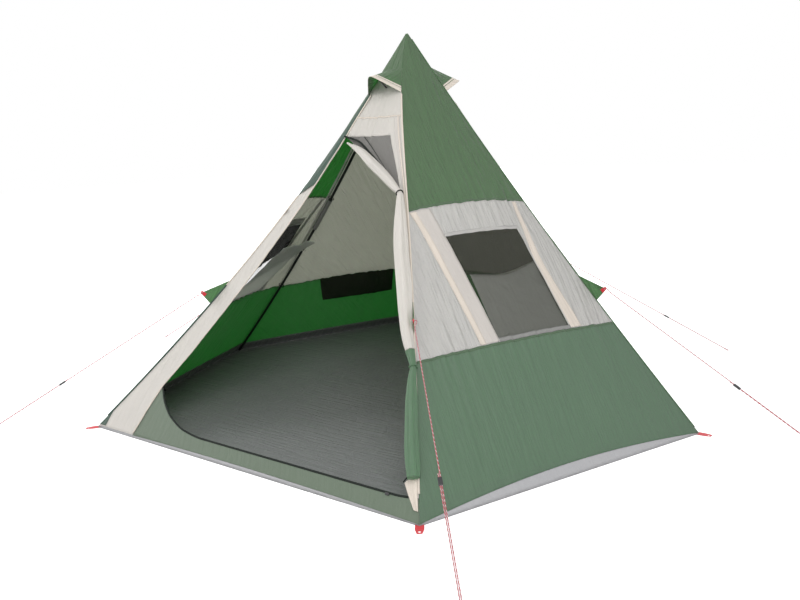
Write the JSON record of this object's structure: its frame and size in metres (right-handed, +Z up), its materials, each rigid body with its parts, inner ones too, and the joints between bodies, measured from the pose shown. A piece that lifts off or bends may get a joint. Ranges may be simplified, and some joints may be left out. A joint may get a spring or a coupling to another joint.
{
  "type": "pyramid tent",
  "caption": "Six-sided tipi tent with a rolled-back front door, mesh side windows with inner flaps, hooded peak vents, a tub groundsheet, bowed poles and guy lines.",
  "frame": {"origin": "centre of the groundsheet's underside, on the ground under the middle of the tent", "axes": "+Z up, -Y towards the door, +X to the right of someone looking in at the door"},
  "size_m": [5.2418, 4.0265, 2.2424],
  "materials": {
    "green_cloth": "matt",
    "sage_cloth": "matt",
    "white_cloth": "matt",
    "black_mesh": "matt",
    "grey_cloth": "matt",
    "black_steel": "semi-gloss",
    "black_plastic": "matt",
    "red_webbing": "matt",
    "red_cord": "matt"
  },
  "bodies": {
    "tent": {"door_roll": "white_cloth", "door_roll_hem": "green_cloth", "door_screen": "grey_cloth", "door_sill": "sage_cloth", "door_surround": "white_cloth", "door_tie_lower": "green_cloth", "door_tie_upper": "black_plastic", "groundsheet": "grey_cloth", "guy_line_back_left": "red_cord", "guy_line_back_right": "red_cord", "guy_line_front_left": "red_cord", "guy_line_front_right": "red_cord", "guy_line_left": "red_cord", "guy_line_right": "red_cord", "guy_tab_back_left": "green_cloth", "guy_tab_back_right": "green_cloth", "guy_tab_front_left": "green_cloth", "guy_tab_front_right": "green_cloth", "guy_tab_left": "green_cloth", "guy_tab_right": "green_cloth", "lower_wall_front_left": "green_cloth", "lower_wall_front_right": "green_cloth", "lower_wall_rear": "green_cloth", "middle_wall_front_left": "white_cloth", "middle_wall_front_right": "white_cloth", "middle_wall_rear": "white_cloth", "peg_loop_back_left": "red_webbing", "peg_loop_back_right": "red_webbing", "peg_loop_front_left": "red_webbing", "peg_loop_front_right": "red_webbing", "peg_loop_left": "red_webbing", "peg_loop_right": "red_webbing", "pole_back_left": "black_steel", "pole_back_right": "black_steel", "pole_front_left": "black_steel", "pole_front_right": "black_steel", "pole_hub": "black_plastic", "pole_left": "black_steel", "pole_right": "black_steel", "storage_pocket": "black_mesh", "upper_wall_front_left": "green_cloth", "upper_wall_front_right": "green_cloth", "upper_wall_rear": "green_cloth", "vent_hood_front": "green_cloth", "vent_hood_rear": "green_cloth", "vent_panel_front": "white_cloth", "vent_panel_rear": "white_cloth", "window_mesh_left": "black_mesh", "window_mesh_right": "black_mesh"},
    "guy_slider_front_left": {"guy_slider_front_left": "black_plastic"},
    "guy_slider_front_right": {"guy_slider_front_right": "black_plastic"},
    "guy_slider_right": {"guy_slider_right": "black_plastic"},
    "guy_slider_back_right": {"guy_slider_back_right": "black_plastic"},
    "guy_slider_back_left": {"guy_slider_back_left": "black_plastic"},
    "guy_slider_left": {"guy_slider_left": "black_plastic"},
    "vent_prop_front": {"vent_prop_front": "black_plastic"},
    "vent_prop_rear": {"vent_prop_rear": "black_plastic"},
    "window_flap_right": {"window_flap_right": "grey_cloth"},
    "window_flap_left": {"window_flap_left": "grey_cloth"},
    "zip_slider": {"zip_slider": "black_plastic"}
  },
  "joints": [
    {"name": "slide_guy_slider_front_left", "type": "slide", "parent": "tent", "child": "guy_slider_front_left", "axis": [-0.5159, -0.708, -0.4823], "range_m": [0, 0.3]},
    {"name": "slide_guy_slider_front_right", "type": "slide", "parent": "tent", "child": "guy_slider_front_right", "axis": [0.5989, -0.643, -0.4774], "range_m": [0, 0.3]},
    {"name": "slide_guy_slider_right", "type": "slide", "parent": "tent", "child": "guy_slider_right", "axis": [0.8464, 0, -0.5326], "range_m": [0, 0.3]},
    {"name": "slide_guy_slider_back_right", "type": "slide", "parent": "tent", "child": "guy_slider_back_right", "axis": [0.6239, 0.5865, -0.5165], "range_m": [0, 0.3]},
    {"name": "slide_guy_slider_back_left", "type": "slide", "parent": "tent", "child": "guy_slider_back_left", "axis": [-0.4446, 0.6101, -0.6558], "range_m": [0, 0.3]},
    {"name": "slide_guy_slider_left", "type": "slide", "parent": "tent", "child": "guy_slider_left", "axis": [-0.8972, 0, -0.4417], "range_m": [0, 0.3]},
    {"name": "fold_vent_prop_front", "type": "hinge", "parent": "tent", "child": "vent_prop_front", "pos_m": [-0.00871, -0.21624, 1.91374], "axis": [0.9951, -0.0581, -0.0797], "range_deg": [0, 80]},
    {"name": "fold_vent_prop_rear", "type": "hinge", "parent": "tent", "child": "vent_prop_rear", "pos_m": [0.19123, 0.08794, 1.92198], "axis": [-0.6295, 0.7758, 0.0434], "range_deg": [0, 80]},
    {"name": "fold_window_flap_right", "type": "hinge", "parent": "tent", "child": "window_flap_right", "pos_m": [1.14293, -0.5247, 0.59677], "axis": [-0.3704, -0.9288, 0.0087], "range_deg": [0, 145]},
    {"name": "fold_window_flap_left", "type": "hinge", "parent": "tent", "child": "window_flap_left", "pos_m": [-1.11089, -0.5086, 0.59633], "axis": [-0.3644, 0.9312, -0.0092], "range_deg": [-9, 136]},
    {"name": "slide_zip_slider", "type": "slide", "parent": "tent", "child": "zip_slider", "axis": [-1, 0.0022, 0], "range_m": [0, 1.265]}
  ]
}
